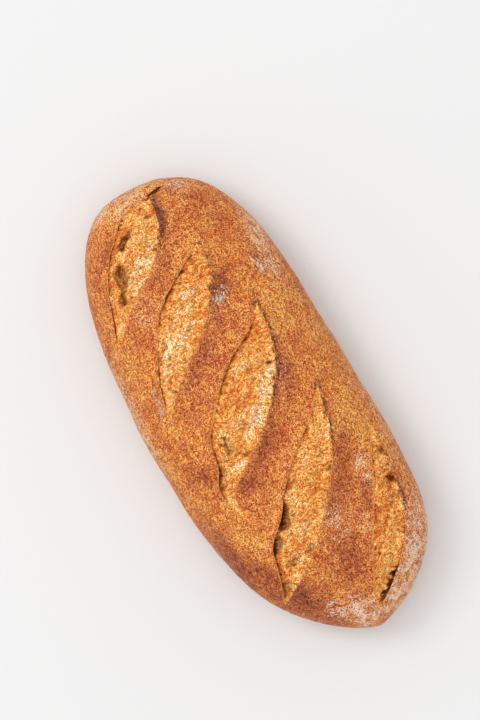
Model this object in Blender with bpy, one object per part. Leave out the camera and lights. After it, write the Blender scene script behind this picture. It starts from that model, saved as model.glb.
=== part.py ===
"""A long sourdough loaf with five slanting scores, made as one closed solid.

Metres, +Z up. +X runs along the loaf, the base lies on Z = 0 and the origin is under its middle.
The skin is worked out on a flat map, where a point's distance from the middle is about its distance
over the real surface. Points are spread over the map, joined into triangles with the score edges as
fixed lines, and then lifted onto the loaf's form.
"""

import math
from collections import namedtuple

import bpy
import numpy as np
from mathutils import Vector, noise
from mathutils.geometry import delaunay_2d_cdt

MM = 0.001

# Driving sizes
LENGTH = 0.320
WIDTH = 0.138
HEIGHT = 0.076
BELLY_HEIGHT = 0.027  # level of the widest outline
BASE_SHARE = 0.80  # size of the base outline over the widest one

# The widest outline is (x / half length)^n + (y / half width)^k = 1, with n and k for each quarter.
# The -X end is blunt and the +X end is drawn to a soft point.
OUTLINE_POWERS = {(1, 1): (5.5, 1.35), (-1, 1): (4.3, 2.5), (-1, -1): (1.9, 2.7), (1, -1): (3.3, 1.3)}

# The dome's section is a power curve too, fuller along the loaf than across it
DOME_POWER_ACROSS = 2.25
DOME_POWER_ALONG = 2.7
DOME_SHOULDER = 2.15

# How far apart the mesh points stand, on the map
CRUST_STEP = 5.8 * MM
CRUMB_STEP = 2.7 * MM
EDGE_STEP = 3.0 * MM
BASE_STEP = 15.0 * MM
WALL_INSET = 0.8 * MM  # from a score's crust edge to the foot of its wall
UNDERCUT = 1.5 * MM  # how far that foot is then drawn back under the crust
COLLARS = (2.4 * MM, 6.0 * MM)  # rows of crust points round each score

CRUST_THICKNESS = 1.6 * MM
RIM_POINTS = 108
FLANK_LEVELS = (1.0, 1.2, 1.4, 1.6, 1.8)  # rings of crust points between belly and base
FLANK_SPREAD = 66 * MM  # the flank's breadth on the map, wide enough for well-shaped triangles there
NARROW = 9.0 * MM  # a score's relief fades where it is narrower than this, or than half its own width
SLIT = 3.4 * MM  # below this width a score is a plain groove
STEEP = 0.6  # relief is measured square to the surface, but no steeper than where its normal rises by this

# A score runs from start to end in plan, in mm. Below and above are how far it opens to each side of
# that line, in mm, at eighths of its length. Below is the side whose crust lies flat, above is the
# side with the ear. Heights and depths are in mm.
Score = namedtuple("Score", "start end below above ear lip crown low_crack ear_crack seed")
SCORES = (
    Score((-147.7, 13.9), (-71.1, -55.8), (14.1, 16.1, 17.3, 16.4, 13.6, 8.8, 4.1),
          (8.1, 10.5, 10.7, 7.0, 3.3, 1.2, 0.2), 4.6, 0.8, 1.4, 4.2, 0.5, 11),
    Score((-108.1, 24.9), (-19.1, -49.2), (6.2, 11.5, 15.5, 16.6, 14.0, 10.8, 5.8),
          (11.3, 12.9, 13.4, 10.6, 7.3, 3.5, 0.8), 3.4, 1.0, 2.4, 3.8, 0.5, 23),
    Score((-56.3, 37.8), (61.0, -36.5), (5.3, 15.3, 21.4, 24.9, 27.0, 21.8, 19.6),
          (8.1, 12.3, 11.4, 8.8, 2.2, -5.7, -11.5), 4.4, 1.0, 2.6, 3.8, 0.5, 37),
    Score((7.3, 43.9), (115.8, -44.9), (1.7, 5.7, 9.5, 11.1, 10.8, 13.2, 6.3),
          (7.6, 14.1, 16.0, 15.5, 14.9, 11.3, 6.9), 3.0, 1.3, 2.2, 4.6, 0.5, 41),
    Score((45.5, 59.9), (150.7, 3.4), (0.1, -0.5, -0.1, 0.9, 1.7, 2.4, 2.0),
          (6.9, 11.9, 17.0, 19.0, 17.6, 13.7, 7.9), 1.8, 0.2, 2.0, 1.2, 4.6, 59),
    # The short split beside the first score, under the flap at the blunt end
    Score((-151.8, 24.7), (-150.0, 12.5), (0.4, 0.5, 0.5, 0.6, 0.7, 0.6, 0.4),
          (0.9, 1.2, 1.4, 1.4, 1.3, 1.1, 0.8), 0.3, 1.6, 0.0, 1.6, 1.6, 61),
)

# Torn hollows in the crumb: middle in plan, length, width, turn in degrees and depth, in mm
Hollow = namedtuple("Hollow", "x y length width turn depth")
HOLLOWS = (
    Hollow(-133, -13, 13, 4.5, -55, 4.5),
    Hollow(-114, -27, 18, 7.0, -20, 4.8),
    Hollow(-103, -33, 10, 4.5, -22, 3.2),
    Hollow(-81, 17, 6, 4.0, -30, 2.6),
    Hollow(12, -24, 17, 5.5, -25, 3.4),
    Hollow(27, -39, 15, 5.0, -30, 3.8),
    Hollow(68, -17, 18, 6.0, -30, 5.0),
    Hollow(80, -29, 13, 5.5, -45, 3.8),
    Hollow(94, -27, 8, 4.0, -70, 2.2),
    Hollow(108, -40, 12, 4.5, -40, 2.6),
    Hollow(81, 54, 6, 4.0, 0, 2.2),
    Hollow(64, 57.5, 7, 4.0, 0, 1.8),
)

CRUST_COLOUR = (0.48, 0.20, 0.06, 1.0)
CRUST_ROUGHNESS = 0.62

SAMPLES_PER_SCORE = 65
EDGE_RAGGEDNESS = 0.45 * MM
SWELL = 1.3 * MM  # slow unevenness of the whole crust
SWELL_SIZE = 42 * MM
CRUMB_LUMPS = ((1.1 * MM, 9 * MM), (0.6 * MM, 4.5 * MM))  # (height, size) of the torn crumb's lumps


def ripple(points, size, seed):
    """Smooth noise between about -1 and 1 for each row of points, with features of that size."""
    shift = Vector((seed * 3.1, seed * 1.7, seed * 0.9))
    return np.array([noise.noise(Vector(p) / size + shift) for p in np.pad(points, ((0, 0), (0, 3 - points.shape[1])))])


def outline_table(steps=720):
    """Angles all the way round and the radius of the widest outline at each."""
    angle = np.linspace(-math.pi, math.pi, steps, endpoint=False)
    low, high = np.zeros(steps), np.full(steps, LENGTH)
    powers = [OUTLINE_POWERS[1 if math.cos(a) >= 0 else -1, 1 if math.sin(a) >= 0 else -1] for a in angle]
    n, k = np.array(powers).T
    for _ in range(40):
        middle = (low + high) / 2
        x, y = np.abs(middle * np.cos(angle)), np.abs(middle * np.sin(angle))
        inside = (2 * x / LENGTH) ** n + (2 * y / WIDTH) ** k < 1
        low, high = np.where(inside, middle, low), np.where(inside, high, middle)
    return angle, low


OUTLINE_ANGLE, OUTLINE_RADIUS = outline_table()


def outline_radius(angle):
    return np.interp(angle, OUTLINE_ANGLE, OUTLINE_RADIUS, period=2 * math.pi)


def dome_power(angle):
    """The dome is fuller towards the ends of the loaf."""
    return DOME_POWER_ACROSS + (DOME_POWER_ALONG - DOME_POWER_ACROSS) * np.cos(angle) ** 2


def section(angle, level):
    """(share of the outline's radius, height). Level is 0 at the top, 1 at the belly and 2 at the base's rim."""
    up = np.clip(level, 0, 1) * math.pi / 2
    share = np.sin(up) ** (2 / dome_power(angle))
    height = BELLY_HEIGHT + (HEIGHT - BELLY_HEIGHT) * np.clip(np.cos(up), 0, 1) ** (2 / DOME_SHOULDER)
    down = np.clip(level - 1, 0, 1) * math.pi / 2
    share = share - (1 - BASE_SHARE) * (1 - np.cos(down))
    return share, height - BELLY_HEIGHT * np.sin(down)


def map_radius(angle, level):
    """How far from the middle of the map a point stands."""
    share, height = section(angle, np.minimum(level, 1))
    return outline_radius(angle) * share + 0.75 * (HEIGHT - height) + FLANK_SPREAD * np.clip(level - 1, 0, 1)


def level_on_map(angle, radius):
    low, high = np.zeros_like(radius), np.full_like(radius, 2.0)
    for _ in range(40):
        middle = (low + high) / 2
        inside = map_radius(angle, middle) < radius
        low, high = np.where(inside, middle, low), np.where(inside, high, middle)
    return (low + high) / 2


def lift(flat):
    """Points of the map on the smooth loaf, before any relief."""
    angle, radius = np.arctan2(flat[:, 1], flat[:, 0]), np.hypot(flat[:, 0], flat[:, 1])
    share, height = section(angle, level_on_map(angle, radius))
    reach = outline_radius(angle) * share
    return np.stack([reach * np.cos(angle), reach * np.sin(angle), height], axis=1)


def normals(flat, step=0.4 * MM):
    ahead, back = lift(flat + [step, 0]), lift(flat - [step, 0])
    left, right = lift(flat + [0, step]), lift(flat - [0, step])
    across = np.cross(ahead - back, left - right)
    return across / np.linalg.norm(across, axis=1)[:, None]


def plan_to_map(plan):
    angle, reach = np.arctan2(plan[:, 1], plan[:, 0]), np.hypot(plan[:, 0], plan[:, 1])
    share = np.clip(reach / outline_radius(angle), 0, 0.998)
    level = np.arcsin(share ** (dome_power(angle) / 2)) * 2 / math.pi
    radius = map_radius(angle, level)
    return np.stack([radius * np.cos(angle), radius * np.sin(angle)], axis=1)


def smooth_widths(widths, at):
    """The widths at eighths, with 0 at both tips, read along a smooth curve."""
    knots = np.concatenate([[0], np.array(widths) * MM, [0]])
    slope = np.gradient(knots)
    i = np.clip((at * 8).astype(int), 0, 7)
    t = at * 8 - i
    return (
        knots[i] * (1 + 2 * t) * (1 - t) ** 2
        + slope[i] * t * (1 - t) ** 2
        + knots[i + 1] * t * t * (3 - 2 * t)
        - slope[i + 1] * t * t * (1 - t)
    )


class Cut:
    """A score's two crust edges, in plan and as lines on the map, and the relief that it makes."""

    def __init__(self, score):
        self.score = score
        start, end = np.array(score.start) * MM, np.array(score.end) * MM
        self.length = np.linalg.norm(end - start)
        self.along = (end - start) / self.length
        self.across = np.array([-self.along[1], self.along[0]])
        at = np.linspace(0, 1, SAMPLES_PER_SCORE)
        spine = start + np.outer(at, end - start)
        fade = np.sin(math.pi * at)
        rough = [
            EDGE_RAGGEDNESS * fade * ripple(spine + side, 5 * MM, score.seed) for side in (0.0, 0.5)
        ]
        self.below = smooth_widths(score.below, at) + rough[0]
        self.above = smooth_widths(score.above, at) + rough[1]
        self.spine = spine
        self.low_edge = spine - np.outer(self.below, self.across)
        self.ear_edge = spine + np.outer(self.above, self.across)
        self.low_line, self.ear_line = plan_to_map(self.low_edge), plan_to_map(self.ear_edge)
        self.loop = np.concatenate([self.low_line, self.ear_line[-2:0:-1]])

    def edges(self, at):
        """The crust edges' points, low side and ear side, at shares of the score's length."""
        sample = np.linspace(0, 1, SAMPLES_PER_SCORE)
        sides = (self.low_edge, self.ear_edge)
        return [np.stack([np.interp(at, sample, side[:, k]) for k in (0, 1)], axis=1) for side in sides]

    def strength(self, at):
        """How much of the full relief there is at a share of the score's length."""
        widths = self.below + self.above
        width = np.interp(at, np.linspace(0, 1, SAMPLES_PER_SCORE), widths)
        return np.clip(width / min(NARROW, widths.max() / 2), 0, 1)

    def contains(self, flat):
        inside = np.zeros(len(flat), bool)
        for a, b in zip(self.loop, np.roll(self.loop, -1, axis=0)):
            crosses = (a[1] > flat[:, 1]) != (b[1] > flat[:, 1])
            rise = b[1] - a[1] if b[1] != a[1] else 1e-12
            inside ^= crosses & (flat[:, 0] < a[0] + (flat[:, 1] - a[1]) * (b[0] - a[0]) / rise)
        return inside

    def ear_height(self, at):
        return self.score.ear * MM * self.strength(at) * np.sin(math.pi * np.clip(at, 0, 1) ** 0.8) ** 0.6

    def crust_relief(self, flat):
        """The crust swells towards the ear's edge and rolls down a little on the other side."""
        far_ear, at_ear = nearest(flat, self.ear_line)
        far_low, at_low = nearest(flat, self.low_line)
        ear_side = far_ear <= far_low
        ear = self.ear_height(at_ear) * np.exp(-((far_ear / (11 * MM)) ** 1.5))
        lip = self.score.lip * MM * self.strength(at_low) * np.exp(-((far_low / (4 * MM)) ** 2))
        roll = -0.7 * MM * self.strength(at_low) * np.exp(-((far_low / (1.2 * MM)) ** 2))
        return np.where(ear_side, ear, lip + roll)

    def crumb_relief(self, flat):
        """The torn crumb: a crown in the middle, cracks along the edges and a bank up to the ear."""
        s = self.score
        far_ear, at = nearest(flat, self.ear_line)
        far_low, _ = nearest(flat, self.low_line)
        across = (far_low - far_ear) / np.maximum(far_low + far_ear, 1e-6)
        strength = self.strength(at)
        crown = s.crown * MM * (1 - across**2) - 1.3 * MM
        crack = s.low_crack * MM * np.exp(-((far_low / (1.9 * MM)) ** 2))
        crack += s.ear_crack * MM * np.exp(-((far_ear / (2.2 * MM)) ** 2)) * np.clip((at - 0.45) * 4, 0.1, 1)
        trough = 1.5 * MM * np.exp(-(((far_ear - 7 * MM) / (3 * MM)) ** 2))
        bank = np.clip(self.ear_height(at) - CRUST_THICKNESS, 0, None) * np.exp(-((far_ear / (4.5 * MM)) ** 2))
        lumps = sum(height * ripple(flat, size, s.seed) for height, size in CRUMB_LUMPS)
        return strength * (crown - crack - trough + bank + lumps)


def nearest(points, line):
    """(distance, share of the line's count of points) of the nearest place on a line."""
    a, b = line[:-1], line[1:]
    run = b - a
    rel = points[:, None] - a[None]
    t = np.clip((rel * run).sum(2) / (run**2).sum(1), 0, 1)
    gap = np.linalg.norm(rel - t[..., None] * run, axis=2)
    i = gap.argmin(1)
    rows = np.arange(len(points))
    return gap[rows, i], (i + t[rows, i]) / len(run)


def hollow_depth(plan):
    depth = np.zeros(len(plan))
    for h in HOLLOWS:
        turn = math.radians(h.turn)
        rel = plan - np.array([h.x, h.y]) * MM
        u = (rel[:, 0] * math.cos(turn) + rel[:, 1] * math.sin(turn)) / (h.length * MM / 2)
        v = (-rel[:, 0] * math.sin(turn) + rel[:, 1] * math.cos(turn)) / (h.width * MM / 2)
        depth = np.maximum(depth, h.depth * MM * np.exp(-((u**2 + v**2) ** 1.5)))
    return depth


def spaced(line, step):
    """Points along a line at about even steps, with both ends."""
    run = np.concatenate([[0], np.cumsum(np.linalg.norm(np.diff(line, axis=0), axis=1))])
    at = np.linspace(0, run[-1], max(2, round(run[-1] / step)) + 1)
    return np.stack([np.interp(at, run, line[:, k]) for k in (0, 1)], axis=1)


def hexagonal(half_x, half_y, step):
    rows = []
    for j, y in enumerate(np.arange(-half_y, half_y + step, step * math.sqrt(0.75))):
        x = np.arange(-half_x, half_x + step, step) + (j % 2) * step / 2
        rows.append(np.stack([x, np.full_like(x, y)], axis=1))
    return np.concatenate(rows)


class Net:
    """Points of the map, each with its kind and the score that it belongs to, and the fixed lines."""

    CRUST, CRUMB, WALL_LOW, WALL_EAR = range(4)

    def __init__(self):
        self.flat = np.zeros((0, 2))
        self.kind, self.cut, self.fixed = [], [], []

    def add(self, flat, kind, cut=-1, clear=0.0):
        """Adds the points that stand clear of all those before, and returns their numbers."""
        numbers = []
        for p in flat:
            if clear and len(self.flat) and np.hypot(*(self.flat - p).T).min() < clear:
                continue
            self.flat = np.vstack([self.flat, p])
            self.kind.append(kind)
            self.cut.append(cut)
            numbers.append(len(self.flat) - 1)
        return numbers

    def fix(self, numbers, closed=False):
        self.fixed += list(zip(numbers, numbers[1:]))
        if closed:
            self.fixed.append((numbers[-1], numbers[0]))


def add_edges(net, number, cut):
    """The two crust edges of a score, from tip to tip, as fixed lines."""
    low, ear = cut.edges(np.linspace(0, 1, round(cut.length / EDGE_STEP) + 1))
    loop = net.add(plan_to_map(np.concatenate([low, ear[-2:0:-1]])), Net.CRUST, number)
    net.fix(loop, closed=True)


def add_crumb(net, number, cut):
    """The feet of the walls along both crust edges, as fixed lines, and rows of crumb between them."""
    low, ear = cut.edges(np.linspace(0, 1, round(cut.length / EDGE_STEP) + 1)[1:-1])
    width = np.linalg.norm(ear - low, axis=1)
    wide = width > SLIT
    inset = (WALL_INSET / width)[:, None]
    for kind, near, far in ((Net.WALL_LOW, low, ear), (Net.WALL_EAR, ear, low)):
        if wide.any():
            net.fix(net.add(plan_to_map((near + (far - near) * inset)[wide]), kind, number))
    groove = ~wide & (width > SLIT / 4)
    if groove.any():
        net.add(plan_to_map((low + ear)[groove] / 2), Net.CRUMB, number)
    for a, b, across in zip(low[wide], ear[wide], width[wide]):
        columns = round((across - 2 * WALL_INSET) / CRUMB_STEP)
        if columns > 1:
            share = WALL_INSET / across
            row = a + np.outer(share + (1 - 2 * share) * np.arange(1, columns) / columns, b - a)
            net.add(plan_to_map(row), Net.CRUMB, number, CRUMB_STEP * 0.55)


def add_collars(net, cuts):
    """Rows of crust points beside the scores' edges."""
    for distance in COLLARS:
        for cut in cuts:
            for line, side in ((cut.low_edge, -1), (cut.ear_edge, 1)):
                row = plan_to_map(spaced(line, distance * 1.4) + side * distance * cut.across)
                net.add(row[clear_of(row, cuts, distance * 0.6)], Net.CRUST, clear=distance * 0.8)


def clear_of(flat, cuts, distance):
    """Which points of the map are off the scores and that far from their edges."""
    clear = np.ones(len(flat), bool)
    for cut in cuts:
        clear &= ~cut.contains(flat)
        clear &= nearest(flat, cut.low_line)[0] > distance
        clear &= nearest(flat, cut.ear_line)[0] > distance
    return clear


def add_crust(net, cuts):
    """Rings from the base's rim up to the belly, then an even field over the dome."""
    turn = np.linspace(0, 2 * math.pi, RIM_POINTS, endpoint=False)
    for row, level in enumerate((2.0,) + FLANK_LEVELS[::-1]):
        shifted = turn + (row % 2) * math.pi / RIM_POINTS
        angle = np.arctan2(np.sin(shifted) * WIDTH, np.cos(shifted) * LENGTH)
        radius = map_radius(angle, np.full(RIM_POINTS, level))
        ring = np.stack([radius * np.cos(angle), radius * np.sin(angle)], axis=1)
        if row == 0:
            rim = net.add(ring, Net.CRUST)
            net.fix(rim, closed=True)
        else:
            net.add(ring[clear_of(ring, cuts, 3 * MM)], Net.CRUST)
    field = hexagonal(LENGTH * 0.65, WIDTH * 0.8, CRUST_STEP)
    angle, radius = np.arctan2(field[:, 1], field[:, 0]), np.hypot(*field.T)
    field = field[radius < map_radius(angle, np.full(len(angle), FLANK_LEVELS[0])) - 0.7 * CRUST_STEP]
    for cut in cuts:
        field = field[~cut.contains(field)]
    net.add(field, Net.CRUST, clear=CRUST_STEP * 0.62)
    return rim


def relief_of(net, cuts):
    """How far up from the smooth loaf each point stands."""
    kind, owner = np.array(net.kind), np.array(net.cut)
    relief = sum(cut.crust_relief(net.flat) for cut in cuts)
    for number, cut in enumerate(cuts):
        torn = (owner == number) & (kind != Net.CRUST)
        relief[torn] = cut.crumb_relief(net.flat[torn])
    torn = kind != Net.CRUST
    relief[torn] -= hollow_depth(lift(net.flat[torn])[:, :2])
    return relief


def undercut(net, cuts):
    """The foot of a wall is drawn back under the crust, in plan."""
    shift = np.zeros((len(net.flat), 3))
    kind, owner = np.array(net.kind), np.array(net.cut)
    for number, cut in enumerate(cuts):
        for side, wall, line in ((-1, Net.WALL_LOW, cut.low_line), (1, Net.WALL_EAR, cut.ear_line)):
            foot = (owner == number) & (kind == wall)
            if foot.any():
                at = nearest(net.flat[foot], line)[1]
                shift[foot, :2] = side * np.outer(UNDERCUT * cut.strength(at) ** 2, cut.across)
    return shift


def loaf_mesh():
    cuts = [Cut(score) for score in SCORES]
    net = Net()
    for number, cut in enumerate(cuts):
        add_edges(net, number, cut)
    for number, cut in enumerate(cuts):
        add_crumb(net, number, cut)
    add_collars(net, cuts)
    rim = add_crust(net, cuts)
    smooth, out = lift(net.flat), normals(net.flat)
    swell = SWELL * ripple(smooth, SWELL_SIZE, 5) * np.clip(smooth[:, 2] / BELLY_HEIGHT, 0, 1)
    points = smooth + out * swell[:, None] + undercut(net, cuts)
    points[:, 2] += relief_of(net, cuts) / np.clip(out[:, 2], STEEP, 1)
    points[rim, 2] = 0.0

    skin = delaunay_2d_cdt([Vector(p) for p in net.flat], net.fixed, [], 1, 1e-7)
    faces = [tuple(skin[3][v][0] for v in face) for face in skin[2]]

    rim_plan = points[rim, :2]
    field = hexagonal(LENGTH / 2, WIDTH / 2, BASE_STEP)
    angle = np.arctan2(field[:, 1], field[:, 0])
    edge = outline_radius(angle) * BASE_SHARE - 0.5 * BASE_STEP
    field = field[np.hypot(*field.T) < edge]
    base_plan = np.concatenate([rim_plan, field])
    loop = [(i, (i + 1) % len(rim)) for i in range(len(rim))]
    base = delaunay_2d_cdt([Vector(p) for p in base_plan], loop, [], 1, 1e-7)
    number = list(rim) + list(range(len(points), len(points) + len(field)))
    faces += [tuple(number[base[3][v][0]] for v in reversed(face)) for face in base[2]]
    points = np.concatenate([points, np.pad(field, ((0, 0), (0, 1)))])
    points[:, :2] -= (points[:, :2].min(0) + points[:, :2].max(0)) / 2

    mesh = bpy.data.meshes.new("sourdough_loaf")
    mesh.from_pydata([tuple(p) for p in points], [], faces)
    mesh.validate()
    mesh.shade_smooth()
    return mesh


def crust_material():
    material = bpy.data.materials.new("crust")
    material.use_nodes = True
    surface = material.node_tree.nodes["Principled BSDF"]
    surface.inputs["Base Color"].default_value = CRUST_COLOUR
    surface.inputs["Roughness"].default_value = CRUST_ROUGHNESS
    material.diffuse_color = CRUST_COLOUR
    return material


def main():
    for old in list(bpy.data.objects):
        bpy.data.objects.remove(old)
    loaf = bpy.data.objects.new("sourdough_loaf", loaf_mesh())
    loaf.data.materials.append(crust_material())
    bpy.context.scene.collection.objects.link(loaf)


main()
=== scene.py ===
"""The looks of a long sourdough loaf with five slanting scores: skin, materials, floor and light.

Metres, +Z up, +X along the loaf. The skin is laid out finer than the solid that it stands for, from the
same sizes, because a torn and blistered crust isn't something that modelling tools give. The few things
that lie on the crust, the floor and the light are modelled with Blender's own tools.
"""

import math
from collections import namedtuple

import bpy
import numpy as np
from bpy.props import FloatProperty, FloatVectorProperty, IntProperty, PointerProperty
from mathutils import Matrix, Vector, noise
from mathutils.geometry import delaunay_2d_cdt
from mathutils.kdtree import KDTree


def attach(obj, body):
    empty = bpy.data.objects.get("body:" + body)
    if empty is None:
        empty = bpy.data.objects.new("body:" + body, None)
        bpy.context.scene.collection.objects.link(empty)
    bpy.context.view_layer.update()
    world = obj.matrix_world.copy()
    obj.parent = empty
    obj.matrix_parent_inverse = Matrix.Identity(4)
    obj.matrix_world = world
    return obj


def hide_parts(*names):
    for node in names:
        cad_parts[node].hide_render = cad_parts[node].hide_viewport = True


bl_info = {
    "name": "Sourdough Loaf",
    "version": (1, 0, 0),
    "blender": (4, 5, 0),
    "location": "View3D > Sidebar > Loaf",
    "description": "Makes a long scored sourdough loaf on a pale floor",
    "category": "Add Mesh",
}

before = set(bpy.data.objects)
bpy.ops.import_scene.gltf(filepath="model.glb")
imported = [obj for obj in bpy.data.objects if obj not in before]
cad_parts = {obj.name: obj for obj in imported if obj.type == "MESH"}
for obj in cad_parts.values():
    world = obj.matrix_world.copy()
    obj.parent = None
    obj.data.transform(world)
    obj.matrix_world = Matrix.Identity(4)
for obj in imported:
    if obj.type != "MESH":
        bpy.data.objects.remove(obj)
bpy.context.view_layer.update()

MM = 0.001
NODE = "sourdough_loaf"

# The widest outline is (x / half length)^n + (y / half width)^k = 1, with n and k for each quarter
OUTLINE_POWERS = {(1, 1): (5.5, 1.35), (-1, 1): (4.3, 2.5), (-1, -1): (1.9, 2.7), (1, -1): (3.3, 1.3)}
OUTLINE_STEPS = 720
DOME_POWER_ACROSS = 2.25
DOME_POWER_ALONG = 2.7
DOME_SHOULDER = 2.15
MAP_FALL = 0.75  # how much of a fall in height the map's radius grows by
FLANK_SPREAD = 66 * MM  # the flank's breadth on the map
CRUST_THICKNESS = 1.6 * MM
NARROW = 9.0 * MM  # a score's relief fades where it is narrower than this, or than half its own width
STEEP = 0.6  # relief is measured square to the surface, but no steeper than where its normal rises by this

# A score runs from start to end in plan, in mm. Below and above are how far it opens to each side of
# that line, in mm, at eighths of its length, where less than 0 is past the line. Below is the side
# whose crust lies flat, above is the side with the ear. Heights and depths are in mm, and strands is
# the way that its torn strands run, in degrees from +X.
Score = namedtuple("Score", "start end below above ear lip crown low_crack ear_crack seed strands")
SCORES = (
    Score((-147.7, 13.9), (-71.1, -55.8), (14.1, 16.1, 17.3, 16.4, 13.6, 8.8, 4.1),
          (8.1, 10.5, 10.7, 7.0, 3.3, 1.2, 0.2), 4.6, 0.8, 1.4, 4.2, 0.5, 11, 80),
    Score((-108.1, 24.9), (-19.1, -49.2), (6.2, 11.5, 15.5, 16.6, 14.0, 10.8, 5.8),
          (11.3, 12.9, 13.4, 10.6, 7.3, 3.5, 0.8), 3.4, 1.0, 2.4, 3.8, 0.5, 23, 88),
    Score((-56.3, 37.8), (61.0, -36.5), (5.3, 15.3, 21.4, 24.9, 27.0, 21.8, 19.6),
          (8.1, 12.3, 11.4, 8.8, 2.2, -5.7, -11.5), 4.4, 1.0, 2.6, 3.8, 0.5, 37, 98),
    Score((7.3, 43.9), (115.8, -44.9), (1.7, 5.7, 9.5, 11.1, 10.8, 13.2, 6.3),
          (7.6, 14.1, 16.0, 15.5, 14.9, 11.3, 6.9), 3.0, 1.3, 2.2, 4.6, 0.5, 41, 92),
    Score((45.5, 59.9), (150.7, 3.4), (0.1, -0.5, -0.1, 0.9, 1.7, 2.4, 2.0),
          (6.9, 11.9, 17.0, 19.0, 17.6, 13.7, 7.9), 1.8, 0.2, 2.0, 1.2, 4.6, 59, 105),
    Score((-151.8, 24.7), (-150.0, 12.5), (0.4, 0.5, 0.5, 0.6, 0.7, 0.6, 0.4),
          (0.9, 1.2, 1.4, 1.4, 1.3, 1.1, 0.8), 0.3, 1.6, 0.0, 1.6, 1.6, 61, 0),
)

# How crust and crumb meet at eighths of a score: how open the crack at the low side is and how burnt the
# ear's rim is, both from 0 to 1, and over how many mm the crumb browns into crust at the ear side. Low fade
# is the same for the low side, in mm.
Rim = namedtuple("Rim", "cracks burns fades low_fade")
RIMS = (
    Rim((0.5, 0.3, 0.5, 0.5, 0.4, 0.4, 0.8), (1.0, 0.7, 0.2, 0.0, 0.0, 0.0, 0.0),
        (0.8, 1.5, 3.5, 5.0, 5.0, 5.0, 3.0), 0.8),
    Rim((0.6, 0.8, 0.8, 0.2, 0.1, 0.8, 1.0), (0.5, 0.9, 0.3, 0.1, 0.0, 0.0, 0.0),
        (1.0, 0.8, 1.5, 2.5, 3.0, 3.0, 2.0), 0.8),
    Rim((0.3, 0.8, 0.8, 0.2, 0.1, 0.6, 0.5), (0.7, 0.9, 0.9, 0.5, 0.2, 0.0, 0.0),
        (0.8, 0.8, 0.8, 1.2, 1.5, 3.0, 3.0), 0.8),
    Rim((0.2, 0.3, 0.5, 0.6, 1.0, 0.6, 0.5), (0.7, 0.5, 0.3, 0.1, 0.0, 0.0, 0.0),
        (1.0, 1.5, 1.5, 3.0, 3.5, 4.0, 3.0), 0.8),
    Rim((0.3, 0.2, 0.0, 0.0, 0.0, 0.0, 0.0), (0.3, 0.5, 0.7, 0.6, 0.2, 0.0, 0.0),
        (1.0, 1.0, 0.8, 0.8, 0.8, 0.5, 0.5), 3.0),
    Rim((1.0,) * 7, (0.0,) * 7, (0.5,) * 7, 0.5),
)

# Oval patches of the top: middle in plan, length and width in mm, turn in degrees from +X, and how
# strong they are: in mm of depth for hollows, and from 0 up for how charred, golden or floury the crust is
Patch = namedtuple("Patch", "x y length width turn strength")
HOLLOWS = [Patch(*row) for row in (
    (-133, -13, 13, 4.5, -55, 4.5), (-114, -27, 18, 7.0, -20, 4.8), (-103, -33, 10, 4.5, -22, 3.2),
    (-81, 17, 6, 4.0, -30, 2.6), (12, -24, 15, 4.5, -25, 1.4), (27, -38, 15, 4.5, -35, 2.6),
    (68, -17, 18, 6.0, -30, 5.0), (80, -29, 13, 5.5, -45, 3.8), (94, -27, 8, 4.0, -70, 2.2),
    (108, -40, 12, 4.5, -40, 2.6), (81, 54, 6, 4.0, 0, 2.2), (64, 57.5, 7, 4.0, 0, 1.8),
)]
CHARS = [Patch(*row) for row in (
    (-133, 13, 28, 8, -22, 0.9), (-77, 24, 25, 11, -31, 0.8), (-62, 12, 14, 9, -31, 0.5),
    (-3, 29, 42, 14, -31, 0.35), (-12, 31, 12, 7, -31, 0.6), (22, -2, 40, 13, -50, 0.65),
    (37, -27, 16, 24, 0, 0.6), (60, 31, 62, 15, -31, 0.5), (110, 5, 44, 26, -31, 0.6),
    (112, -38, 88, 24, 28, 0.75), (85, 36, 34, 16, -20, 0.5), (75, 14, 34, 20, -40, 0.45),
    (80, -58, 56, 14, 8, 0.8), (-132, -27, 24, 8, -50, 0.7), (-110, -40, 24, 8, -35, 0.35),
    (-104, -4, 50, 15, -45, 0.35), (-45, -9, 64, 18, -50, 0.45), (21, -47, 28, 12, 30, 0.6),
    (-78, 53, 22, 10, 10, 0.55), (-125, 38, 60, 30, 0, 0.30), (30, 60, 70, 12, -8, 0.2),
)]
# Golden crust, and painted light: some patches lighten the crust where light falls, on the blunt end, the
# flap's crest and a fold's crest
GOLD_AND_LIGHT_PATCHES = [Patch(*row) for row in (
    (-52, 48, 44, 22, -10, 1.0), (-25, 58, 50, 14, -5, 0.6), (-118, 28, 22, 12, -30, 0.7),
    (-106, 22, 20, 10, -40, 0.7), (70, -43, 44, 20, 20, 1.0), (-62, -52, 64, 22, 0, 0.6),
    (-18, -48, 32, 16, 0, 0.6), (-153, -6, 16, 44, 0, 1.0), (-153.5, 13, 7, 38, 4, 1.7),
    (33, 53, 46, 22, -20, 1.3), (62, 56, 46, 14, -20, 1.1), (0, -62, 60, 12, 0, 0.6),
    (55, -15, 19, 3.0, -76, 1.4),
)]
FLOURS = [Patch(*row) for row in (
    (-92, 61, 60, 12, -6, 0.8), (-75, 52, 17, 6, 20, 0.9), (-71, 20, 8, 14, 10, 0.6),
    (-6, 28, 26, 8, -31, 0.35), (-29, 26, 10, 5, -60, 0.5), (67, 42, 18, 9, -6, 1.0),
    (88, 10, 24, 14, -31, 0.5), (97, 24, 14, 12, 0, 0.5), (128, 44, 84, 24, -40, 1.1),
    (151, 20, 26, 40, 0, 1.2), (147, -6, 26, 16, 10, 1.3), (136, -18, 22, 12, 20, 0.8),
    (-40, -66, 90, 9, -2, 0.8), (-29, -49, 20, 5, -20, 0.5), (-87, -28, 18, 12, -40, 0.5),
    (40, 68, 100, 8, -6, 0.4), (-155, -6, 14, 56, 0, 0.8), (-147, 34, 12, 24, -30, 0.5),
)]
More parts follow.
